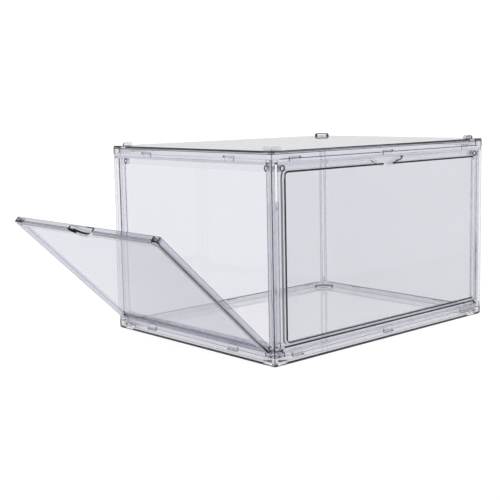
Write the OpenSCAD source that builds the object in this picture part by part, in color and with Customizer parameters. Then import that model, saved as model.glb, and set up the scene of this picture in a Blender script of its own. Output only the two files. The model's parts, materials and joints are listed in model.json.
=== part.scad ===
// Stackable display shoe box in clear moulded plastic, with two drop-down doors.
// Origin: centre of the underside. +X right, +Y back, +Z up. The wide door faces -Y, the narrow one -X.

/* [Overall size] */
// Width along X, across the wide door
box_w = 360; // [320:1:420]
// Depth along Y, across the narrow door
box_d = 278; // [240:1:320]
// Height of the box without its stacking lugs
box_h = 221; // [180:1:260]

/* [Trays and walls] */
// Thickness of floor, roof and wall sheets
sheet_t = 2.4; // [2.2:0.1:2.8]
// Height of the rim that runs round each tray
rim_h = 9; // [8.6:0.1:11]
// Thickness of the outer rim and of the post walls
rim_t = 2.2; // [1.8:0.1:2.3]
// Height of the small step along the roof's and the floor's outer edge
edge_step = 1.8; // [1:0.1:2]
// Radius of the upright outer corners
corner_r = 3.5; // [2.5:0.1:4]

/* [Posts and door frames] */
// Side of a square corner post
post_w = 8; // [7.8:0.1:9]
// Thickness of the lips that the doors close against
stop_t = 2; // [1.6:0.1:2.4]
// Reach of a post's lip past the post
stop_reach = 6; // [4:0.5:8]

/* [Doors] */
// Depth of a door from outer face to inner edge
door_t = 6.9; // [6.7:0.1:7.2]
// Width of the flat band round a door's face
band_w = 9.2; // [8:0.1:12]
// Height of the band along a door's top
top_band = 7.2; // [6.8:0.1:9]
// Height of the band along a door's foot
foot_band = 5; // [4:0.1:8]
// Depth of the sunk panel inside the band
panel_sink = 2.4; // [1:0.1:2.6]
// Angle at which an open door rests on its sill
open_angle = 46.5; // [10:0.5:46.5]

/* [Finger scoops] */
// Width of the half-moon finger scoop at the wide door's top
scoop_w = 52; // [40:1:70]
// Width of the narrow door's scoop
side_scoop_w = 43; // [36:1:52]
// Height of the half moon
scoop_h = 8; // [7:0.5:12]
// Depth of the scoop
scoop_depth = 5; // [4.5:0.1:5]

/* [Magnets] */
// Diameter of a latch magnet
magnet_d = 5.6; // [4:0.1:5.6]
// Length of a latch magnet
magnet_l = 3; // [2:0.1:3]

/* [Stacking] */
// Leg of a triangular stacking lug
lug_leg = 14; // [10:0.5:18]
// Distance from the box's sides to a lug
lug_in = 9.2; // [8.8:0.1:12]
// Height of a stacking lug
lug_h = 4; // [3:0.1:4.2]

/* [Hidden] */
$fn = 48;
gap = 0.4;
fit = 0.3;
channel_in = 6.4;
inner_rim_t = 1.6;
inner_rim_drop = 0.4;
half_w = box_w / 2;
half_d = box_d / 2;
rail_z = rim_h;
roof_z = box_h - rim_h;
sill_top = 14.1;
door_foot = sill_top + 3.1;
header_foot = roof_z - 5;
door_top = header_foot - 0.5;
pivot_in = 4;
pivot_z = sill_top + 0.2;
stop_in = door_t + gap;
stop_back = stop_in + stop_t;
rail_end = post_w + 0.2;
lip_end = stop_back + fit;
sill_lip_top = door_foot + foot_band - 0.7;
header_lip_foot = door_top - top_band + 0.5;
hinge_r = 1.5;
hinge_play = 0.05;
ear_r = 2.9;
ear_w = 5;
notch_z = 10.4;
foot_round = 1.5;
rim_corner_r = 4.5;
step_wall = 2;
scoop_floor = 1.6;
function scoop_r(width) = (width * width / 4 + scoop_h * scoop_h) / (2 * scoop_h);
magnet_in = 16;
pocket_r = magnet_d / 2 + 0.02;
magnet_z = door_top - magnet_d / 2 - 0.7;
door_magnet_y = sheet_t + 0.2;
frame_magnet_y = stop_in + 0.9;
boss_r = 4;
frame_boss_r = 4.1;
frame_boss_back = frame_magnet_y + magnet_l + 0.3;
core_w = post_w - 2 * rim_t;
peg_w = core_w - 2 * fit;
peg_h = 6;
lug_step = 0.8;
lug_wall = 1.4;
hollow_leg = lug_leg - lug_wall * (2 + sqrt(2));
edge_in = 0.6;
pocket_depth = lug_h + 0.8;
clip_w = 15;
window_h = 1.8;
window_in = rim_h - 2.7;
nib_play = 0.2;
nib_h = window_h - 2 * nib_play;
nib_root = 0.5;
notch_play = 0.6;
nib_in = 1;
hook_t = 1.6;
hook_in = rim_t + 0.2;
clip_pitch_w = box_w * 0.405;
clip_pitch_d = box_d * 0.26;
clips_w = [-clip_pitch_w, 0, clip_pitch_w];
clips_d = [-clip_pitch_d, clip_pitch_d];
clear_tint = [0.80, 0.83, 0.91, 0.35];
magnet_tint = [0.78, 0.79, 0.81];

// A box from its lowest to its highest corner
module block(low, high) {
    translate(low) cube(high - low);
}

// A flat outline with round corners, centred
module round_rect(w, h, r) {
    square([w - 2 * r, h], center = true);
    square([w, h - 2 * r], center = true);
    for (sx = [-1, 1], sy = [-1, 1])
        translate([sx * (w / 2 - r), sy * (h / 2 - r)]) circle(r);
}

// A slab with the box's outline, drawn in by inset
module outline_slab(inset, z_low, z_high) {
    translate([0, 0, z_low])
        linear_extrude(z_high - z_low)
            round_rect(box_w - 2 * inset, box_d - 2 * inset, max(corner_r - inset, 0.4));
}

// A wall that follows the box's outline between two insets
module outline_wall(inset_out, inset_in, z_low, z_high) {
    difference() {
        outline_slab(inset_out, z_low, z_high);
        outline_slab(inset_in, z_low - 1, z_high + 1);
    }
}

// Repeats a child at the four corners; the child stands in the +X +Y quarter from the outer corner
module at_corners() {
    for (sx = [0, 1], sy = [0, 1])
        mirror([sx, 0, 0]) mirror([0, sy, 0]) translate([-half_w, -half_d, 0]) children();
}

// Children stand along X with their outer face at y = 0: on the front of the box, or on its left side
module on_front() {
    translate([0, -half_d, 0]) children();
}
module on_side() {
    translate([-half_w, 0, 0]) rotate([0, 0, -90]) children();
}

// A door's parts turned out about the hinge
module swung(angle) {
    translate([0, pivot_in, pivot_z]) rotate([angle, 0, 0]) translate([0, -pivot_in, -pivot_z]) children();
}

// A right-angled triangle with its corner towards the box's corner
module corner_triangle(inset, leg, z_low, z_high) {
    translate([inset, inset, z_low])
        linear_extrude(z_high - z_low) polygon([[0, 0], [leg, 0], [0, leg]]);
}

// Snap windows through an outer rim, at height z
module rim_windows(z) {
    for (x = clips_w)
        block([x - clip_w / 2, -half_d - 1, z], [x + clip_w / 2, -half_d + rim_t + 0.1, z + window_h]);
    for (x = clips_w)
        block([x - clip_w / 2, half_d - rim_t - 0.1, z], [x + clip_w / 2, half_d + 1, z + window_h]);
    for (y = clips_d)
        block([-half_w - 1, y - clip_w / 2, z], [-half_w + rim_t + 0.1, y + clip_w / 2, z + window_h]);
    for (y = clips_d)
        block([half_w - rim_t - 0.1, y - clip_w / 2, z], [half_w + 1, y + clip_w / 2, z + window_h]);
}

// A nib that fills a snap window, with its outer end at nib_in
module nib(x, z, root) {
    block([x - clip_w / 2 + fit, nib_in, z + nib_play], [x + clip_w / 2 - fit, root, z + nib_play + nib_h]);
}

// Children that lie along a magnet's axis, once at each upper corner of a doorway, from depth y
module at_magnets(length, y) {
    for (side = [-1, 1])
        translate([side * (length / 2 - magnet_in), y, magnet_z]) rotate([-90, 0, 0]) children();
}

module base_tray() {
    color(clear_tint) difference() {
        union() {
            outline_slab(edge_in, 0, sheet_t);
            outline_wall(0, rim_t, edge_step, rim_h);
            outline_wall(channel_in, channel_in + inner_rim_t, 0, rim_h - inner_rim_drop);
            at_corners() corner_triangle(lug_in - 2, lug_leg + 6, 0, pocket_depth + 2);
            at_corners() translate([rim_t + fit, rim_t + fit, 0]) cube([peg_w, peg_w, rim_h + peg_h]);
        }
        rim_windows(window_in);
        at_corners() corner_triangle(lug_in - fit, lug_leg + 3 * fit, -1, pocket_depth);
    }
}

module top_tray() {
    color(clear_tint) difference() {
        union() {
            outline_slab(edge_in, box_h - sheet_t, box_h);
            outline_wall(0, rim_t, roof_z, box_h - edge_step);
            outline_wall(channel_in, channel_in + inner_rim_t, roof_z + inner_rim_drop, box_h);
            at_corners() corner_triangle(lug_in, lug_leg, box_h - 1, box_h + lug_h - 1);
            at_corners() corner_triangle(lug_in + lug_step, lug_leg - 3 * lug_step, box_h, box_h + lug_h);
            at_corners() translate([rim_t + fit, rim_t + fit, roof_z - peg_h])
                cube([peg_w, peg_w, rim_h + peg_h - 1]);
        }
        rim_windows(box_h - window_in - window_h);
        at_corners() corner_triangle(lug_in + lug_wall, hollow_leg, roof_z, box_h + lug_h - lug_wall);
    }
}

// Cross-section of a post; door_x and door_y say which sides meet a door, the others take a wall sheet
module post_section(door_x, door_y) {
    slot_in = post_w - rim_t - 0.2;
    slot_w = sheet_t + gap;
    difference() {
        union() {
            square(post_w);
            if (door_x || door_y)
                translate([stop_in, stop_in]) square(stop_t);
            if (door_x && !door_y)
                translate([slot_in, slot_in]) square([post_w - slot_in, stop_back - slot_in]);
            if (door_y && !door_x)
                translate([slot_in, slot_in]) square([stop_back - slot_in, post_w - slot_in]);
        }
        if (door_x || door_y)
            translate([rim_t, rim_t]) square(core_w);
        difference() {
            translate([-1, -1]) square(corner_r + 1);
            translate([corner_r, corner_r]) circle(corner_r);
        }
        if (!door_x)
            translate([slot_in, rim_t]) square([rim_t + 1, slot_w]);
        if (!door_y)
            translate([rim_t, slot_in]) square([slot_w, rim_t + 1]);
    }
}

module corner_post(door_x, door_y) {
    lip_low = sill_lip_top + 0.2;
    lip_high = magnet_z - frame_boss_r - fit;
    bore_l = rim_t + 1;
    socket = core_w + rim_t;
    difference() {
        union() {
            translate([0, 0, rail_z]) linear_extrude(roof_z - rail_z) post_section(door_x, door_y);
            if (door_x)
                block([post_w, stop_in, lip_low], [post_w + stop_reach, stop_back, lip_high]);
            if (door_y)
                block([stop_in, post_w, lip_low], [stop_back, post_w + stop_reach, lip_high]);
        }
        block([rim_t, rim_t, rail_z - 1], [socket, socket, rail_z + peg_h + fit]);
        block([rim_t, rim_t, roof_z - peg_h - fit], [socket, socket, roof_z + 1]);
        if (door_x)
            translate([post_w - rim_t - 0.5, pivot_in, pivot_z]) rotate([0, 90, 0])
                cylinder(h = bore_l, r = hinge_r + hinge_play);
        if (door_y)
            translate([pivot_in, post_w - rim_t - 0.5, pivot_z]) rotate([-90, 0, 0])
                cylinder(h = bore_l, r = hinge_r + hinge_play);
    }
}

module post_front_left() {
    color(clear_tint) translate([-half_w, -half_d, 0]) corner_post(true, true);
}
module post_front_right() {
    color(clear_tint) mirror([1, 0, 0]) translate([-half_w, -half_d, 0]) corner_post(true, false);
}
module post_back_left() {
    color(clear_tint) mirror([0, 1, 0]) translate([-half_w, -half_d, 0]) corner_post(false, true);
}
module post_back_right() {
    color(clear_tint) rotate([0, 0, 180]) translate([-half_w, -half_d, 0]) corner_post(false, false);
}

// A plain sheet in the tray channels, along X with its outer side towards y = 0
module wall_sheet(length, clips) {
    half = length / 2 - post_w + rim_t - gap;
    base = sheet_t + fit;
    block([-half, hook_in, base], [half, hook_in + sheet_t, box_h - base]);
    for (x = clips) {
        nib(x, window_in, hook_in + nib_root);
        nib(x, box_h - window_in - window_h, hook_in + nib_root);
    }
}

module wall_back() {
    color(clear_tint) mirror([0, 1, 0]) on_front() wall_sheet(box_w, clips_w);
}
module wall_right() {
    color(clear_tint) mirror([1, 0, 0]) on_side() wall_sheet(box_d, clips_d);
}

// Rail under a door: a capped channel with a raised lip behind the door, and notches for the door's ears
module sill(length, clips) {
    half = length / 2 - rail_end;
    cap_half = length / 2 - post_w - gap - ear_w - notch_play;
    lip_half = length / 2 - lip_end;
    hook_half = clip_w / 2 - fit;
    block([-half, 0, rail_z], [half, rim_t, notch_z]);
    block([-cap_half, 0, rail_z], [cap_half, rim_t, sill_top]);
    block([-cap_half, 0, sill_top - rim_t], [cap_half, stop_back, sill_top]);
    block([-lip_half, stop_in, rail_z], [lip_half, stop_back, sill_lip_top]);
    for (side = [0, 1])
        mirror([side, 0, 0]) {
            block([cap_half - rim_t, 0, rail_z], [cap_half, stop_back, sill_top]);
            block([cap_half - rim_t, 0, rail_z], [half, stop_in - fit, notch_z]);
        }
    for (x = clips) {
        block([x - hook_half, hook_in, window_in], [x + hook_half, hook_in + hook_t, sill_top - 1]);
        nib(x, window_in, hook_in + nib_root);
    }
}

// Rail over a door, with the lip that carries the frame magnets
module header(length, clips) {
    half = length / 2 - rail_end;
    lip_half = length / 2 - lip_end;
    hook_half = clip_w / 2 - fit;
    top_window = box_h - window_in - window_h;
    difference() {
        union() {
            block([-half, 0, header_foot], [half, rim_t, roof_z]);
            block([-lip_half, 0, header_foot], [lip_half, stop_back, header_foot + rim_t]);
            block([-lip_half, stop_in, header_lip_foot], [lip_half, stop_back, roof_z]);
            at_magnets(length, stop_in) cylinder(h = frame_boss_back - stop_in, r = frame_boss_r);
            for (x = clips) {
                block([x - hook_half, hook_in, header_foot + 1],
                      [x + hook_half, hook_in + hook_t, top_window + window_h]);
                nib(x, top_window, hook_in + nib_root);
            }
        }
        at_magnets(length, frame_magnet_y) cylinder(h = magnet_l + boss_r, r = pocket_r);
    }
}

module front_sill() {
    color(clear_tint) on_front() sill(box_w, clips_w);
}
module front_header() {
    color(clear_tint) on_front() header(box_w, clips_w);
}
module side_sill() {
    color(clear_tint) on_side() sill(box_d, clips_d);
}
module side_header() {
    color(clear_tint) on_side() header(box_d, clips_d);
}

// Stands a flat outline up in the door's plane, from depth y_low to y_high
module upright(y_low, y_high) {
    translate([0, y_high, 0]) rotate([90, 0, 0]) linear_extrude(y_high - y_low) children();
}

// The opening inside a door's band, grown by grow
module panel_outline(door_half, grow) {
    w = 2 * (door_half - band_w + grow);
    h = door_top - door_foot - top_band - foot_band + 2 * grow;
    translate([0, door_foot + foot_band - grow + h / 2]) round_rect(w, h, rim_corner_r + grow);
}

module door_outline(door_half) {
    translate([0, (door_top + door_foot) / 2]) round_rect(2 * door_half, door_top - door_foot, 1.2);
}

// The half moon that the fingers reach into, width wide at the door's top and grown by grow
module scoop_outline(width, grow) {
    intersection() {
        translate([0, door_top - scoop_h + scoop_r(width)]) circle(scoop_r(width) + grow, $fn = 96);
        translate([-width, door_top - 2 * scoop_h]) square([2 * width, 2 * scoop_h]);
    }
}

// A hinge ear with its stub axle, for the door's right end
module ear(door_half) {
    stub_l = gap + rim_t - fit;
    translate([door_half - ear_w, pivot_in, pivot_z]) rotate([0, 90, 0]) {
        cylinder(h = ear_w, r = ear_r);
        cylinder(h = ear_w + stub_l, r = hinge_r);
    }
    block([door_half - ear_w, pivot_in - ear_r, pivot_z], [door_half, pivot_in + ear_r, door_foot + rim_t]);
}

// A door: banded face, sunk panel, edge flange, finger scoop, hinge ears and magnet bosses
module door(length, scoop) {
    door_half = length / 2 - post_w - gap;
    door_h = door_top - door_foot;
    difference() {
        union() {
            upright(0, sheet_t) difference() {
                door_outline(door_half);
                panel_outline(door_half, 0);
            }
            upright(0, door_t) difference() {
                door_outline(door_half);
                translate([0, (door_top + door_foot) / 2])
                    square([2 * (door_half - rim_t), door_h - 2 * rim_t], center = true);
            }
            upright(0, panel_sink + sheet_t) difference() {
                panel_outline(door_half, step_wall);
                panel_outline(door_half, 0);
            }
            upright(panel_sink, panel_sink + sheet_t) panel_outline(door_half, step_wall / 2);
            upright(0, scoop_depth + scoop_floor) scoop_outline(scoop, step_wall);
            intersection() {
                at_magnets(length, 0) cylinder(h = door_t, r = boss_r);
                upright(0, door_t) door_outline(door_half);
            }
            for (side = [0, 1])
                mirror([side, 0, 0]) ear(door_half);
        }
        upright(-1, scoop_depth) scoop_outline(scoop, 0);
        at_magnets(length, door_magnet_y) cylinder(h = door_t, r = pocket_r);
        foot_rounding(door_half - ear_w);
    }
}

// What is cut away to round the door's lower outer edge between its ears
module foot_rounding(half) {
    difference() {
        block([-half, -1, door_foot - 1], [half, foot_round, door_foot + foot_round]);
        translate([-half - 1, foot_round, door_foot + foot_round]) rotate([0, 90, 0])
            cylinder(h = 2 * half + 2, r = foot_round);
    }
}

module door_magnet(x) {
    translate([x, door_magnet_y, magnet_z]) rotate([-90, 0, 0]) cylinder(h = magnet_l, r = magnet_d / 2);
}
module frame_magnet(x) {
    translate([x, frame_magnet_y, magnet_z]) rotate([-90, 0, 0]) cylinder(h = magnet_l, r = magnet_d / 2);
}

module front_door() {
    color(clear_tint) on_front() door(box_w, scoop_w);
}
module side_door() {
    color(clear_tint) on_side() swung(open_angle) door(box_d, side_scoop_w);
}
module front_door_magnet_left() {
    color(magnet_tint) on_front() door_magnet(magnet_in - half_w);
}
module front_door_magnet_right() {
    color(magnet_tint) on_front() door_magnet(half_w - magnet_in);
}
module side_door_magnet_near() {
    color(magnet_tint) on_side() swung(open_angle) door_magnet(half_d - magnet_in);
}
module side_door_magnet_far() {
    color(magnet_tint) on_side() swung(open_angle) door_magnet(magnet_in - half_d);
}
module front_frame_magnet_left() {
    color(magnet_tint) on_front() frame_magnet(magnet_in - half_w);
}
module front_frame_magnet_right() {
    color(magnet_tint) on_front() frame_magnet(half_w - magnet_in);
}
module side_frame_magnet_near() {
    color(magnet_tint) on_side() frame_magnet(half_d - magnet_in);
}
module side_frame_magnet_far() {
    color(magnet_tint) on_side() frame_magnet(magnet_in - half_d);
}

base_tray();
top_tray();
post_front_left();
post_front_right();
post_back_left();
post_back_right();
wall_back();
wall_right();
front_sill();
front_header();
side_sill();
side_header();
front_door();
side_door();
front_door_magnet_left();
front_door_magnet_right();
side_door_magnet_near();
side_door_magnet_far();
front_frame_magnet_left();
front_frame_magnet_right();
side_frame_magnet_near();
side_frame_magnet_far();
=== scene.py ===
import json
import math
import bpy
import bmesh
from mathutils import Vector, Matrix

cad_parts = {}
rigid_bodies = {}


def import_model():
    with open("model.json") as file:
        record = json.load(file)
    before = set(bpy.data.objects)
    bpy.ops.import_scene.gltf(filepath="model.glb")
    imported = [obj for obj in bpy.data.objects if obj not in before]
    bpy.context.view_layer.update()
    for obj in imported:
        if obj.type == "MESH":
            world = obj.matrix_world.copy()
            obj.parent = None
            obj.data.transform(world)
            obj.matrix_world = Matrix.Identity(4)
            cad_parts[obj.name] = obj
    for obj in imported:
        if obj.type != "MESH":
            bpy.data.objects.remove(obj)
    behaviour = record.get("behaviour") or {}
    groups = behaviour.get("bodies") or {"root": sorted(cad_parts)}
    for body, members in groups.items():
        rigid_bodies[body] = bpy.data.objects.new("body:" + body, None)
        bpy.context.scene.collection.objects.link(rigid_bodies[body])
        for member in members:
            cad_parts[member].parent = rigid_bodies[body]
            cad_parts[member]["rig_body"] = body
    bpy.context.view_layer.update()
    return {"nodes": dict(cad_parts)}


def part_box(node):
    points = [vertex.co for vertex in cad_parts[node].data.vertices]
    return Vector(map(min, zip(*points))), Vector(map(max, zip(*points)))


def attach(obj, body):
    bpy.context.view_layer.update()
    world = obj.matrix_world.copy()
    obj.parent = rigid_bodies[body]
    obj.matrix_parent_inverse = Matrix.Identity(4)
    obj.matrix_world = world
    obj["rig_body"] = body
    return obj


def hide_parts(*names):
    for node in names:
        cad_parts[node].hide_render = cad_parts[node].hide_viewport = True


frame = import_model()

print("frame loaded:", len(frame["nodes"]), "nodes")

mm = 0.001
caseLow, caseHigh = (Vector(corner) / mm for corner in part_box("base_tray"))
halfW = (caseHigh.x - caseLow.x) / 2
halfD = (caseHigh.y - caseLow.y) / 2
boxTop = 221.0      # roof surface, under the stacking lugs
baseTop = 9.0       # upper edge of the base tray's rim


def addObject(name, data):
    added = bpy.data.objects.new(name, data)
    bpy.context.scene.collection.objects.link(added)
    return added


# camera: where it stands in millimetres, how it is turned in degrees, and what it clips in metres
view = {"placeMm": (-853.0, -858.1, 268.5), "yaw": 46.576, "pitch": -7.707, "roll": -0.957,
        "lens": 71.26, "sensor": 36, "shiftX": -0.0564, "shiftY": -0.0264, "clip": (0.05, 60)}


def makeCamera():
    data = bpy.data.cameras.new("camera")
    camera = addObject("camera", data)
    yaw, pitch, roll = (math.radians(view[key]) for key in ("yaw", "pitch", "roll"))
    forward = Vector((math.cos(pitch) * math.cos(yaw), math.cos(pitch) * math.sin(yaw),
                      math.sin(pitch)))
    side = forward.cross(Vector((0, 0, 1))).normalized()
    up = side.cross(forward)
    right = side * math.cos(roll) + up * math.sin(roll)
    top = up * math.cos(roll) - side * math.sin(roll)
    turn = Matrix((right, top, -forward)).transposed().to_4x4()
    camera.matrix_world = Matrix.Translation(Vector(view["placeMm"]) * mm) @ turn
    data.sensor_width = view["sensor"]
    data.lens = view["lens"]
    data.shift_x = view["shiftX"]
    data.shift_y = view["shiftY"]
    data.clip_start, data.clip_end = view["clip"]
    bpy.context.scene.camera = camera


makeCamera()


# node helpers: each adds one node to a tree
def newMaterial(name):
    material = bpy.data.materials.new(name)
    material.use_nodes = True
    return material, material.node_tree, material.node_tree.nodes["Principled BSDF"]


def noiseFrom(tree, place, scale, detail):
    noise = tree.nodes.new("ShaderNodeTexNoise")
    noise.inputs["Scale"].default_value = scale
    noise.inputs["Detail"].default_value = detail
    tree.links.new(place.outputs["Object"], noise.inputs["Vector"])
    return noise.outputs["Fac"]


def rampFrom(tree, source, low, high, span):
    ramp = tree.nodes.new("ShaderNodeValToRGB")
    for element, tone, spot in zip(ramp.color_ramp.elements, (low, high), span):
        element.position = spot
        element.color = (*tone, 1)
    tree.links.new(source, ramp.inputs["Fac"])
    return ramp.outputs["Color"]


def rangeFrom(tree, source, low, high, span=(0.0, 1.0), smooth=False):
    node = tree.nodes.new("ShaderNodeMapRange")
    node.interpolation_type = "SMOOTHSTEP" if smooth else "LINEAR"
    values = {"From Min": span[0], "From Max": span[1], "To Min": low, "To Max": high}
    for label, value in values.items():
        node.inputs[label].default_value = value
    tree.links.new(source, node.inputs["Value"])
    return node.outputs["Result"]


def mathFrom(tree, operation, first, second):
    node = tree.nodes.new("ShaderNodeMath")
    node.operation = operation
    tree.links.new(first, node.inputs[0])
    if isinstance(second, float):
        node.inputs[1].default_value = second
    else:
        tree.links.new(second, node.inputs[1])
    return node.outputs[0]


# clear plastic: tint and clarity of each moulding; the tints and densities differ as painted light
# and shade, lit and shaded copies of what is probably one plastic
# rough is a pair of roughness values that a fine haze moves between; wave is the height in
# millimetres of the slow ripple that moulding leaves, and waveScale is how close its ripples lie
plastics = {
    "clearSheet": {"tone": (0.765, 0.77, 0.805), "rough": (0.0, 0.02), "wave": 0.004,
                   "waveScale": 9.0, "absorb": (0.30, 0.31, 0.42), "density": 18.0},
    "clearDoor": {"tone": (0.85, 0.853, 0.872), "rough": (0.0, 0.02), "wave": 0.004,
                  "waveScale": 11.0, "absorb": (0.30, 0.31, 0.42), "density": 14.0},
    "clearFlap": {"tone": (0.66, 0.675, 0.735), "rough": (0.0, 0.02), "wave": 0.004,
                  "waveScale": 11.0, "absorb": (0.28, 0.30, 0.44), "density": 14.0},
    "clearTray": {"tone": (0.90, 0.90, 0.925), "rough": (0.0, 0.03), "wave": 0.003,
                  "waveScale": 14.0, "absorb": (0.28, 0.29, 0.46), "density": 7.0},
    "clearPost": {"tone": (0.92, 0.92, 0.945), "rough": (0.0, 0.04), "wave": 0.003,
                  "waveScale": 30.0, "absorb": (0.30, 0.31, 0.46), "density": 14.0},
    "clearRail": {"tone": (0.98, 0.98, 0.99), "rough": (0.0, 0.04), "wave": 0.003,
                  "waveScale": 24.0, "absorb": (0.30, 0.31, 0.45), "density": 50.0},
    "clearNose": {"tone": (0.90, 0.90, 0.94), "rough": (0.0, 0.05), "wave": 0.0,
                  "waveScale": 60.0, "absorb": (0.30, 0.31, 0.45), "density": 60.0},
}
# what every clear plastic shares: fine haze, a slow drift of tint, and the colour of the painted
# shade mixed into the roof
melt = {"ior": 1.5, "hazeScale": 90.0, "hazeDetail": 4.0, "hazeSpan": (0.35, 0.75),
        "driftScale": 6.0, "driftDetail": 2.0, "driftSpan": (0.3, 0.7), "driftShare": 0.985,
        "waveDetail": 1.0, "roofShade": (0.46, 0.49, 0.58)}


def clearPlastic(name):
    plan = plastics[name]
    material, tree, shader = newMaterial(name)
    link = tree.links.new
    shader.inputs["IOR"].default_value = melt["ior"]
    shader.inputs["Transmission Weight"].default_value = 1.0
    place = tree.nodes.new("ShaderNodeTexCoord")
    haze = noiseFrom(tree, place, melt["hazeScale"], melt["hazeDetail"])
    link(rangeFrom(tree, haze, *plan["rough"], melt["hazeSpan"]), shader.inputs["Roughness"])
    drift = noiseFrom(tree, place, melt["driftScale"], melt["driftDetail"])
    dimmer = [melt["driftShare"] * part for part in plan["tone"]]
    tone = rampFrom(tree, drift, dimmer, plan["tone"], melt["driftSpan"])
    shade = tree.nodes.new("ShaderNodeAttribute")   # painted shade: broken edges and lugs are tinted darker, one lug much darker
    shade.attribute_name = "shade"
    tint = tree.nodes.new("ShaderNodeMix")          # its two colours are inputs 6 and 7
    tint.data_type = "RGBA"
    tint.blend_type = "MULTIPLY"
    tint.inputs[0].default_value = 1.0
    link(tone, tint.inputs[6])
    link(shade.outputs["Color"], tint.inputs[7])
    link(tint.outputs[2], shader.inputs["Base Color"])
    if plan["wave"] > 0:
        bump = tree.nodes.new("ShaderNodeBump")
        bump.inputs["Strength"].default_value = 1.0
        bump.inputs["Distance"].default_value = plan["wave"] * mm
        link(noiseFrom(tree, place, plan["waveScale"], melt["waveDetail"]), bump.inputs["Height"])
        link(bump.outputs["Normal"], shader.inputs["Normal"])
    depth = tree.nodes.new("ShaderNodeVolumeAbsorption")
    depth.inputs["Color"].default_value = (*plan["absorb"], 1)
    depth.inputs["Density"].default_value = plan["density"]
    roofShadeDiffuse = tree.nodes.new("ShaderNodeBsdfDiffuse")  # painted shade on the roof: a dull diffuse mixed in where the shade's alpha is under 1
    roofShadeDiffuse.inputs["Color"].default_value = (*melt["roofShade"], 1)
    skin = tree.nodes.new("ShaderNodeMixShader")
    link(shade.outputs["Alpha"], skin.inputs[0])
    link(roofShadeDiffuse.outputs["BSDF"], skin.inputs[1])
    link(shader.outputs["BSDF"], skin.inputs[2])
    out = tree.nodes["Material Output"]
    link(skin.outputs[0], out.inputs["Surface"])
    link(depth.outputs["Volume"], out.inputs["Volume"])
    return material


finishes = {name: clearPlastic(name) for name in plastics}

# dark and grey lines of painted shade and pale lines of painted light, laid along the mouldings'
# rims where refraction makes them look dark and pale
paintedLines = {"paintedShadeDark": {"low": (0.008, 0.008, 0.013), "high": (0.02, 0.02, 0.028)},
           "paintedShadeGrey": {"low": (0.07, 0.07, 0.105), "high": (0.13, 0.13, 0.17)},
           "paintedLightPale": {"low": (0.62, 0.62, 0.68), "high": (0.74, 0.74, 0.78)}}
lineLook = {"ior": 1.5, "specular": 0.05, "scale": 55.0, "detail": 3.0, "span": (0.35, 0.65),
            "rough": (0.2, 0.4)}


def paintedLineFinish(name):
    plan = paintedLines[name]
    material, tree, shader = newMaterial(name)
    shader.inputs["IOR"].default_value = lineLook["ior"]
    shader.inputs["Specular IOR Level"].default_value = lineLook["specular"]
    place = tree.nodes.new("ShaderNodeTexCoord")
    drift = noiseFrom(tree, place, lineLook["scale"], lineLook["detail"])
    tone = rampFrom(tree, drift, plan["low"], plan["high"], lineLook["span"])
    tree.links.new(tone, shader.inputs["Base Color"])
    tree.links.new(rangeFrom(tree, drift, *lineLook["rough"]), shader.inputs["Roughness"])
    return material


finishes.update({name: paintedLineFinish(name) for name in paintedLines})

# bright plating for the latch magnets: worn in the low places of its grain
plating = {"worn": (0.70, 0.70, 0.72), "face": (0.93, 0.93, 0.94), "rough": (0.30, 0.12),
           "scale": 420.0, "detail": 5.0, "span": (0.25, 0.5)}


def brightPlating():
    material, tree, shader = newMaterial("brightPlating")
    shader.inputs["Metallic"].default_value = 1.0
    place = tree.nodes.new("ShaderNodeTexCoord")
    grain = noiseFrom(tree, place, plating["scale"], plating["detail"])
    tone = rampFrom(tree, grain, plating["worn"], plating["face"], plating["span"])
    tree.links.new(tone, shader.inputs["Base Color"])
    tree.links.new(rangeFrom(tree, grain, *plating["rough"]), shader.inputs["Roughness"])
    return material


finishes["brightPlating"] = brightPlating()
print("finishes made:", len(finishes))

# doors: each has its own frame, x along the hinge, y from the outer face inwards, z up when shut
doors = {
    "front_door": {"half": 171.6, "openDeg": 0.0, "turnDeg": 0.0, "stand": (0.0, -halfD, 0.0)},
    "side_door": {"half": 130.6, "openDeg": 46.5, "turnDeg": -90.0, "stand": (-halfW, 0.0, 0.0)},
}
doorShape = {"pivotY": 4.0, "pivotZ": 14.3, "foot": 17.2, "top": 206.5,
             "band": 9.2, "topBand": 7.2, "footBand": 5.0, "scoopHalf": 8.6}


# a door's own frame as the box has it: a piece of the case stays where the shut door would be
def doorPlace(door, body):
    plan = doors[door]
    openDeg = 0.0 if body == "case" else plan["openDeg"]
    pivot = Vector((0, doorShape["pivotY"], doorShape["pivotZ"]))
    swing = (Matrix.Translation(pivot) @ Matrix.Rotation(math.radians(openDeg), 4, "X")
             @ Matrix.Translation(-pivot))
    turn = Matrix.Rotation(math.radians(plan["turnDeg"]), 4, "Z")
    return Matrix.Translation(Vector(plan["stand"])) @ turn @ swing


def inMetres(matrix):
    return Matrix.Diagonal((mm, mm, mm, 1)) @ matrix @ Matrix.Diagonal((1 / mm, 1 / mm, 1 / mm, 1))


# mouldings: the exact shapes with their edges broken
# soft is the width in millimetres of a broken edge, merge is a distance in metres
softening = {"soft": 0.16, "segments": 2, "sharpDeg": 32.0, "merge": 0.00001, "flatDeg": 1.0}

# painted shade: the share of red, green and blue that each kind of face lets through, darker on
# broken edges and lugs, and how clear it is of the roof's painted shade
shares = {"plain": (1.0, 1.0, 1.0, 1.0), "edge": (0.86, 0.86, 0.90, 1.0),
          "roof": (1.0, 1.0, 1.0, 0.79), "lug": (0.95, 0.95, 0.97, 1.0),
          "paintedShadeLug": (0.45, 0.45, 0.52, 1.0)}
# which faces are roof: how squarely they face up, and how near boxTop they lie; lugs stand above it
roofFaces = {"facing": 0.9, "within": 0.35, "lugsAbove": 0.1}


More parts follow.
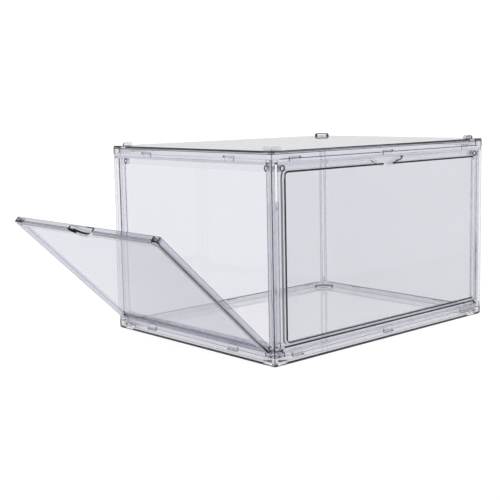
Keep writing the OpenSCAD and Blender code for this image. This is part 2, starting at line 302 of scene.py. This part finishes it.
def faceShare(name, edge, face):
    centre = face.center / mm
    if name == "top_tray":
        flat = face.normal.z > roofFaces["facing"]
        if flat and abs(centre.z - boxTop) < roofFaces["within"]:
            return shares["roof"]
        # painted shade by where each lug stands: the lugs on the left a little darker, the front
        # right one much darker
        if centre.z > boxTop + roofFaces["lugsAbove"]:
            return shares["lug" if centre.x < 0 else "paintedShadeLug" if centre.y < 0 else "plain"]
    return shares["edge" if edge else "plain"]


def solidPart(name, finish):
    node = frame["nodes"][name]
    mesh = node.data.copy()
    shape = bmesh.new()
    shape.from_mesh(mesh)
    bmesh.ops.remove_doubles(shape, verts=shape.verts, dist=softening["merge"])
    bmesh.ops.dissolve_limit(shape, angle_limit=math.radians(softening["flatDeg"]),
                             verts=shape.verts, edges=shape.edges)
    shape.to_mesh(mesh)
    shape.free()
    mesh.materials.clear()
    for _ in range(2):      # the second place only marks the broken edges, and goes again below
        mesh.materials.append(finishes[finish])
    for face in mesh.polygons:
        face.material_index = 0
    piece = addObject(name + "_moulding", mesh)
    broken = piece.modifiers.new("brokenEdges", "BEVEL")
    broken.width = softening["soft"] * mm
    broken.segments = softening["segments"]
    broken.limit_method = "ANGLE"
    broken.angle_limit = math.radians(softening["sharpDeg"])
    broken.material = 1
    graph = bpy.context.evaluated_depsgraph_get()
    solid = bpy.data.meshes.new_from_object(piece.evaluated_get(graph))
    piece.modifiers.clear()
    piece.data = solid
    shade = solid.color_attributes.new("shade", "FLOAT_COLOR", "CORNER")
    for face in solid.polygons:
        edge = face.material_index == 1
        face.use_smooth = edge
        face.material_index = 0
        share = faceShare(name, edge, face)
        for loop in face.loop_indices:
            shade.data[loop].color = share
    solid.materials.pop(index=1)
    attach(piece, node["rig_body"])
    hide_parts(name)


# finish and slot by what a node's name holds
kinds = {"_tray": ("clearTray", "clear_tray"), "front_door": ("clearDoor", "clear_door"),
         "side_door": ("clearFlap", "clear_door"), "post_": ("clearPost", "clear_frame"),
         "wall_": ("clearSheet", "clear_sheet"), "sill": ("clearRail", "clear_frame"),
         "header": ("clearRail", "clear_frame")}
for name in frame["nodes"]:
    for kind, (finish, slot) in kinds.items():
        if kind in name and "magnet" not in name:
            solidPart(name, finish)
print("mouldings finished")

# latch magnets: turned discs with a broken rim and a shallow dish, in millimetres
# dishShare and lipShare are shares of the radius, at the foot and at the lip of the dish
disc = {"radius": 2.8, "length": 3.0, "rim": 0.3, "dish": 0.12, "dishShare": 0.62, "lipShare": 0.72,
        "sides": 40, "fromEnd": 16.0, "height": 203.0, "inDoor": 2.6, "inFrame": 8.2}


# the two places of a door's magnets along its hinge
def magnetEnds(door):
    end = (halfW if door == "front_door" else halfD) - disc["fromEnd"]
    return -end, end


def circlePoints(x, y, radius, steps, count):
    angles = (2 * math.pi * step / steps for step in range(count))
    return [(x + radius * math.cos(angle), y, disc["height"] + radius * math.sin(angle))
            for angle in angles]


def discMesh(shape, x, depth, matrix):
    radius, rim, length = disc["radius"], disc["rim"], disc["length"]
    profile = [(0.0, disc["dish"]), (radius * disc["dishShare"], disc["dish"]),
               (radius * disc["lipShare"], 0.0), (radius - rim, 0.0), (radius, rim),
               (radius, length - rim), (radius - rim, length), (0.0, length)]
    rings = []
    for size, along in profile:
        points = circlePoints(x, depth + along, size, disc["sides"], disc["sides"] if size else 1)
        rings.append([shape.verts.new(matrix @ Vector(point)) for point in points])
    for first, second in zip(rings, rings[1:]):
        for step in range(disc["sides"]):
            after = (step + 1) % disc["sides"]
            if len(first) == 1:
                shape.faces.new((first[0], second[after], second[step]))
            elif len(second) == 1:
                shape.faces.new((first[step], first[after], second[0]))
            else:
                shape.faces.new((first[step], first[after], second[after], second[step]))


def magnetPair(door, depth, names, body):
    shape = bmesh.new()
    for x in magnetEnds(door):
        discMesh(shape, x, depth, doorPlace(door, body))
    bmesh.ops.recalc_face_normals(shape, faces=shape.faces)
    bmesh.ops.scale(shape, vec=(mm, mm, mm), verts=shape.verts)
    label = names[0].rsplit("_", 1)[0] + "_discs"
    mesh = bpy.data.meshes.new(label)
    shape.to_mesh(mesh)
    shape.free()
    mesh.materials.append(finishes["brightPlating"])
    piece = addObject(label, mesh)
    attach(piece, body)
    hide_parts(*names)


magnetPair("front_door", disc["inDoor"],
           ("front_door_magnet_left", "front_door_magnet_right"), "front_door")
magnetPair("side_door", disc["inDoor"],
           ("side_door_magnet_near", "side_door_magnet_far"), "side_door")
magnetPair("front_door", disc["inFrame"],
           ("front_frame_magnet_left", "front_frame_magnet_right"), "case")
magnetPair("side_door", disc["inFrame"],
           ("side_frame_magnet_near", "side_frame_magnet_far"), "case")
print("magnets turned")


# Geometry Nodes: what follows a path, and what repeats
def nodeTree(name, inputs):
    tree = bpy.data.node_groups.new(name, "GeometryNodeTree")
    tree.interface.new_socket("Geometry", in_out="INPUT", socket_type="NodeSocketGeometry")
    for label, kind in inputs.items():
        tree.interface.new_socket(label, in_out="INPUT", socket_type="NodeSocket" + kind)
    tree.interface.new_socket("Geometry", in_out="OUTPUT", socket_type="NodeSocketGeometry")
    return tree, tree.nodes.new("NodeGroupInput"), tree.nodes.new("NodeGroupOutput")


# a round bar along a curve, its ends closed
def barNodes(tree, curve, radius, sides):
    ring = tree.nodes.new("GeometryNodeCurvePrimitiveCircle")
    sweep = tree.nodes.new("GeometryNodeCurveToMesh")
    sweep.inputs["Fill Caps"].default_value = True
    tree.links.new(radius, ring.inputs["Radius"])
    tree.links.new(sides, ring.inputs["Resolution"])
    tree.links.new(curve, sweep.inputs["Curve"])
    tree.links.new(ring.outputs["Curve"], sweep.inputs["Profile Curve"])
    return sweep.outputs["Mesh"]


def closeTree(tree, source, finish, end):
    real = tree.nodes.new("GeometryNodeRealizeInstances")
    paint = tree.nodes.new("GeometryNodeSetMaterial")
    tree.links.new(source, real.inputs["Geometry"])
    tree.links.new(real.outputs["Geometry"], paint.inputs["Geometry"])
    tree.links.new(finish, paint.inputs["Material"])
    tree.links.new(paint.outputs["Geometry"], end.inputs["Geometry"])
    return tree


def beadTree():
    tree, start, end = nodeTree("sweptBead", {"Bead radius": "Float", "Corner radius": "Float",
                                              "Corner steps": "Int", "Sides": "Int",
                                              "Finish": "Material"})
    link = tree.links.new
    path = tree.nodes.new("GeometryNodeMeshToCurve")
    corner = tree.nodes.new("GeometryNodeFilletCurve")
    corner.mode = "POLY"
    corner.inputs["Limit Radius"].default_value = True
    link(start.outputs["Geometry"], path.inputs["Mesh"])
    link(path.outputs["Curve"], corner.inputs["Curve"])
    link(start.outputs["Corner radius"], corner.inputs["Radius"])
    link(start.outputs["Corner steps"], corner.inputs["Count"])
    bead = barNodes(tree, corner.outputs["Curve"], start.outputs["Bead radius"],
                    start.outputs["Sides"])
    return closeTree(tree, bead, start.outputs["Finish"], end)


# snap noses in the windows of both tray rims, in millimetres
# shortest is the least share of its length that a nose has: no two are moulded quite the same
noses = {"length": 12.6, "radius": 0.45, "sides": 10, "depth": 0.75, "seed": 4, "shortest": 0.985,
         "alongW": (-145.8, 0.0, 145.8), "alongD": (-72.28, 72.28), "heights": (7.2, 213.8)}


def noseTree():
    tree, start, end = nodeTree("snapNoses", {"Length": "Float", "Nose radius": "Float",
                                              "Sides": "Int", "Seed": "Int",
                                              "Finish": "Material"})
    link = tree.links.new
    half = mathFrom(tree, "MULTIPLY", start.outputs["Length"], 0.5)
    minus = mathFrom(tree, "MULTIPLY", half, -1.0)
    line = tree.nodes.new("GeometryNodeCurvePrimitiveLine")
    for source, stop in ((minus, "Start"), (half, "End")):
        spot = tree.nodes.new("ShaderNodeCombineXYZ")
        link(source, spot.inputs["X"])
        link(spot.outputs[0], line.inputs[stop])
    nose = barNodes(tree, line.outputs["Curve"], start.outputs["Nose radius"],
                    start.outputs["Sides"])
    wobble = tree.nodes.new("FunctionNodeRandomValue")  # inputs 2 and 3 are its limits as a float
    wobble.data_type = "FLOAT"
    wobble.inputs[2].default_value = noses["shortest"]
    wobble.inputs[3].default_value = 1.0
    link(start.outputs["Seed"], wobble.inputs["Seed"])
    turn = tree.nodes.new("GeometryNodeInputNamedAttribute")
    turn.data_type = "FLOAT_VECTOR"
    turn.inputs["Name"].default_value = "turn"
    spread = tree.nodes.new("GeometryNodeInstanceOnPoints")
    link(start.outputs["Geometry"], spread.inputs["Points"])
    link(nose, spread.inputs["Instance"])
    link(turn.outputs["Attribute"], spread.inputs["Rotation"])
    link(wobble.outputs[1], spread.inputs["Scale"])
    return closeTree(tree, spread.outputs["Instances"], start.outputs["Finish"], end)


def growPiece(name, source, tree, values, body, matrix=None):
    maker = addObject(name + "Maker", source)
    modifier = maker.modifiers.new("grow", "NODES")
    modifier.node_group = tree
    sockets = {item.name: item.identifier for item in tree.interface.items_tree
               if item.item_type == "SOCKET" and item.in_out == "INPUT"}
    for label, value in values.items():
        modifier[sockets[label]] = value
    graph = bpy.context.evaluated_depsgraph_get()
    mesh = bpy.data.meshes.new_from_object(maker.evaluated_get(graph))
    bpy.data.objects.remove(maker)
    if matrix is not None:
        mesh.transform(matrix)
    shape = bmesh.new()
    shape.from_mesh(mesh)
    bmesh.ops.recalc_face_normals(shape, faces=shape.faces)
    shape.to_mesh(mesh)
    shape.free()
    shade = mesh.color_attributes.new("shade", "FLOAT_COLOR", "CORNER")
    for item in shade.data:
        item.color = shares["plain"]
    for face in mesh.polygons:
        face.use_smooth = len(face.vertices) == 4
    piece = addObject(name, mesh)
    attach(piece, body)


def chainMesh(name, chains):
    verts, edges = [], []
    for chain in chains:
        first = len(verts)
        verts += [tuple(value * mm for value in point) for point in chain]
        edges += [(first + step, first + step + 1) for step in range(len(chain) - 1)]
    mesh = bpy.data.meshes.new(name)
    mesh.from_pydata(verts, edges, [])
    return mesh


sweptBead = beadTree()
snapNoses = noseTree()

# fine lines of painted shade and light, opaque beads where the rims look dark and pale: each runs
# through its points, in a door's own frame or in the box's
# the beads' radii are in millimetres
beads = {"sides": 10, "cornerSteps": 8, "hair": 0.34, "fine": 0.44, "line": 0.62, "glow": 0.95,
         "bold": 1.05, "foot": 1.1}


def sweepLine(name, chains, radius, corner, finish, body, matrix=None):
    growPiece(name, chainMesh(name, chains), sweptBead,
              {"Bead radius": radius * mm, "Corner radius": corner * mm,
               "Corner steps": beads["cornerSteps"], "Sides": beads["sides"],
               "Finish": finishes[finish]}, body, matrix)


# the wide door's lines of painted shade, with one pale line of painted light at the step, in
# millimetres: corner is a bend's radius, and the panel line lies inset from the band and deep from
# the outer face; the rest say how far each line lies from the panel line or the door's edge, and how
# far short of it each ends
panel = {"corner": 4.2, "inset": 1.3, "deep": 1.12, "short": 1.0, "lineUp": 3.0, "hookUp": 8.0,
         "glowOut": 3.4, "glowDeep": 3.7, "glowDown": 6.0, "glowUp": 2.0,
         "footCorner": 1.0, "footIn": 6.6, "footDeep": 1.5, "footUp": 1.15,
         "endFrom": 1.6, "endTo": 4.4, "endDeep": 2.7, "endDown": 2.0}


# painted shade round the sunk panel, broken where the finger scoop cuts through it, and a painted
# shadow along the foot, darkest at its ends; a pale painted light line down the step
def panelLines():
    edge = doors["front_door"]["half"]
    low = doorShape["foot"]
    half = edge - doorShape["band"] - panel["inset"]
    short = half - panel["short"]
    top = doorShape["top"] - doorShape["topBand"]
    foot = low + doorShape["footBand"]
    gap = doorShape["scoopHalf"]
    deep = panel["deep"]
    glowX, glowY = -half - panel["glowOut"], panel["glowDeep"]
    footX, footY, footZ = edge - panel["footIn"], panel["footDeep"], low + panel["footUp"]
    endA, endB = edge - panel["endFrom"], edge - panel["endTo"]
    endY, endZ = panel["endDeep"], low - panel["endDown"]
    lines = (
        ("front_door_panel_line", "bold", panel["corner"], "paintedShadeDark",
         [[(short, deep, top), (gap, deep, top)],
          [(-gap, deep, top), (-half, deep, top), (-half, deep, foot + panel["lineUp"])]]),
        ("front_door_panel_foot", "line", panel["corner"], "paintedShadeDark",
         [[(-half, deep, foot + panel["hookUp"]), (-half, deep, foot), (short, deep, foot)]]),
        ("front_door_step_painted_light", "glow", panel["footCorner"], "paintedLightPale",
         [[(glowX, glowY, top - panel["glowDown"]), (glowX, glowY, foot + panel["glowUp"])]]),
        ("front_door_foot_line", "foot", panel["footCorner"], "paintedShadeDark",
         [[(-footX, footY, footZ), (footX, footY, footZ)]]),
        ("front_door_foot_ends", "bold", panel["footCorner"], "paintedShadeDark",
         [[(-endA, endY, endZ), (-endB, endY, endZ)], [(endB, endY, endZ), (endA, endY, endZ)]]),
    )
    matrix = inMetres(doorPlace("front_door", "front_door"))
    for name, bead, corner, finish, chains in lines:
        sweepLine(name, chains, beads[bead], corner, finish, "front_door", matrix)


# a painted shade line along the narrow door's outer arris at one hinge end, hooked in at the foot,
# in millimetres
arris = {"inset": 0.62, "fromTop": 5.0, "hook": 4.4, "corner": 0.8}


def arrisLine():
    half = doors["side_door"]["half"] - arris["inset"]
    foot = doorShape["foot"] + arris["inset"]
    y = arris["inset"]
    chain = [(half, y, doorShape["top"] - arris["fromTop"]), (half, y, foot),
             (half, y + arris["hook"], foot)]
    sweepLine("side_door_arris_painted_shade", [chain], beads["line"], arris["corner"], "paintedShadeDark",
              "side_door", inMetres(doorPlace("side_door", "side_door")))


# the fine lines of painted shade along the trays' edges, in millimetres: all round, along the front
# or at the back
# nearEnd and farEnd say how far short of a corner an open line stops
trayEdges = {
    "roof_edge_line": {"way": "round", "inset": 0.5, "z": boxTop - 0.42, "bead": "hair",
                       "finish": "paintedShadeDark"},
    "roof_step_line": {"way": "round", "inset": 0.42, "z": boxTop - 3.3, "bead": "hair",
                       "finish": "paintedShadeDark"},
    "roof_foot_line": {"way": "front", "inset": 0.5, "z": 212.5, "bead": "hair",
                       "finish": "paintedShadeGrey"},
    "base_edge_line": {"way": "round", "inset": 1.0, "z": 0.55, "bead": "hair",
                       "finish": "paintedShadeGrey"},
    "base_back_line": {"way": "back", "inset": 0.9, "z": baseTop - 0.5, "bead": "fine",
                       "finish": "paintedShadeGrey"},
}
trayPath = {"corner": 3.0, "nearEnd": 14.0, "farEnd": 12.0}


def trayChains(way, inset, z):
    x, y = halfW - inset, halfD - inset
    near, far = trayPath["nearEnd"], trayPath["farEnd"]
    if way == "front":
        return [[(-halfW + far, -y, z), (halfW - far, -y, z)]]
    if way == "back":
        return [[(-x + near, y, z), (x - far, y, z)], [(x, y - far, z), (x, -y + near, z)]]
    return [[(0.0, -y, z), (x, -y, z), (x, y, z), (-x, y, z), (-x, -y, z), (0.0, -y, z)]]


def trayLines():
    for name, plan in trayEdges.items():
        sweepLine(name, trayChains(plan["way"], plan["inset"], plan["z"]), beads[plan["bead"]],
                  trayPath["corner"], plan["finish"], "case")


panelLines()
arrisLine()
trayLines()

# rings of painted shade round each magnet's disc, in millimetres
shadeRing = {"radius": 2.86, "corner": 0.2, "steps": 28, "bead": 0.60, "inDoor": 1.75,
              "frameBead": 0.42, "inFrame": 7.6}


def ringPiece(name, door, depth, bead, body):
    steps = shadeRing["steps"]
    chains = [circlePoints(x, depth, shadeRing["radius"], steps, steps + 1)
              for x in magnetEnds(door)]
    sweepLine(name, chains, bead, shadeRing["corner"], "paintedShadeDark", body,
              inMetres(doorPlace(door, body)))


ringPiece("front_door_painted_shade_rings", "front_door", shadeRing["inDoor"], shadeRing["bead"],
          "front_door")
ringPiece("side_door_painted_shade_rings", "side_door", shadeRing["inDoor"], shadeRing["bead"],
          "side_door")
ringPiece("side_frame_painted_shade_rings", "side_door", shadeRing["inFrame"], shadeRing["frameBead"],
          "case")


# where the noses stand, with a quarter turn for those along the depth
def nosePoints():
    spots, turns = [], []
    for z in noses["heights"]:
        for side in (-1, 1):
            for x in noses["alongW"]:
                spots.append((x, side * (halfD - noses["depth"]), z))
                turns.append((0, 0, 0))
            for y in noses["alongD"]:
                spots.append((side * (halfW - noses["depth"]), y, z))
                turns.append((0, 0, math.pi / 2))
    mesh = chainMesh("nosePoints", [[spot] for spot in spots])
    layer = mesh.attributes.new("turn", "FLOAT_VECTOR", "POINT")
    for item, turn in zip(layer.data, turns):
        item.vector = turn
    return mesh


growPiece("snap_noses", nosePoints(), snapNoses,
          {"Length": noses["length"] * mm, "Nose radius": noses["radius"] * mm,
           "Sides": noses["sides"], "Seed": noses["seed"], "Finish": finishes["clearNose"]},
          "case")
print("rims and noses grown")

# studio: a lit floor and, in a darker room, a white sweep behind, a fill and a dimmer wing
# the floor's size and drop are in metres; inner and outer are cosines of the cones' half angles
studio = {"floorHalf": 6.0, "floorDrop": 0.0002, "floorTone": (0.3, 0.3, 0.3), "floorRough": 0.7,
          "floorGlow": 0.93, "strength": 1.04, "room": 0.30, "sweepInner": 0.86, "sweepOuter": 0.66,
          "fillYaw": -46.0, "fillInner": 0.93, "fillOuter": 0.8, "wingYaw": 136.0, "wingShare": 0.55}


def makeFloor():
    half, z = studio["floorHalf"], -studio["floorDrop"]
    mesh = bpy.data.meshes.new("floor")
    mesh.from_pydata([(-half, -half, z), (half, -half, z), (half, half, z), (-half, half, z)],
                     [], [(0, 1, 2, 3)])
    floor = addObject("floor", mesh)
    paint, _, shader = newMaterial("paleFloor")
    shader.inputs["Base Color"].default_value = (*studio["floorTone"], 1)
    shader.inputs["Roughness"].default_value = studio["floorRough"]
    shader.inputs["Emission Color"].default_value = (1, 1, 1, 1)
    shader.inputs["Emission Strength"].default_value = studio["floorGlow"]
    mesh.materials.append(paint)


def makeWorld():
    world = bpy.data.worlds.new("studio")
    bpy.context.scene.world = world
    world.use_nodes = True
    tree = world.node_tree
    tree.nodes.clear()
    out = tree.nodes.new("ShaderNodeOutputWorld")
    back = tree.nodes.new("ShaderNodeBackground")
    back.inputs["Strength"].default_value = studio["strength"]
    coord = tree.nodes.new("ShaderNodeTexCoord")

    def patch(yaw, inner, outer):
        dot = tree.nodes.new("ShaderNodeVectorMath")
        dot.operation = "DOT_PRODUCT"
        dot.inputs[1].default_value = (math.cos(math.radians(yaw)), math.sin(math.radians(yaw)), 0)
        tree.links.new(coord.outputs["Generated"], dot.inputs[0])
        return rangeFrom(tree, dot.outputs["Value"], 0.0, 1.0, (outer, inner), smooth=True)

    sweep = patch(view["yaw"], studio["sweepInner"], studio["sweepOuter"])
    fill = patch(studio["fillYaw"], studio["fillInner"], studio["fillOuter"])
    flat = patch(studio["wingYaw"], studio["sweepInner"], studio["sweepOuter"])
    wing = mathFrom(tree, "MULTIPLY", flat, studio["wingShare"])
    peak = mathFrom(tree, "MAXIMUM", mathFrom(tree, "MAXIMUM", sweep, fill), wing)
    tree.links.new(rangeFrom(tree, peak, studio["room"], 1.0), back.inputs["Color"])
    tree.links.new(back.outputs[0], out.inputs[0])


makeFloor()
makeWorld()
bpy.context.scene.view_settings.view_transform = "Standard"
print("studio ready")
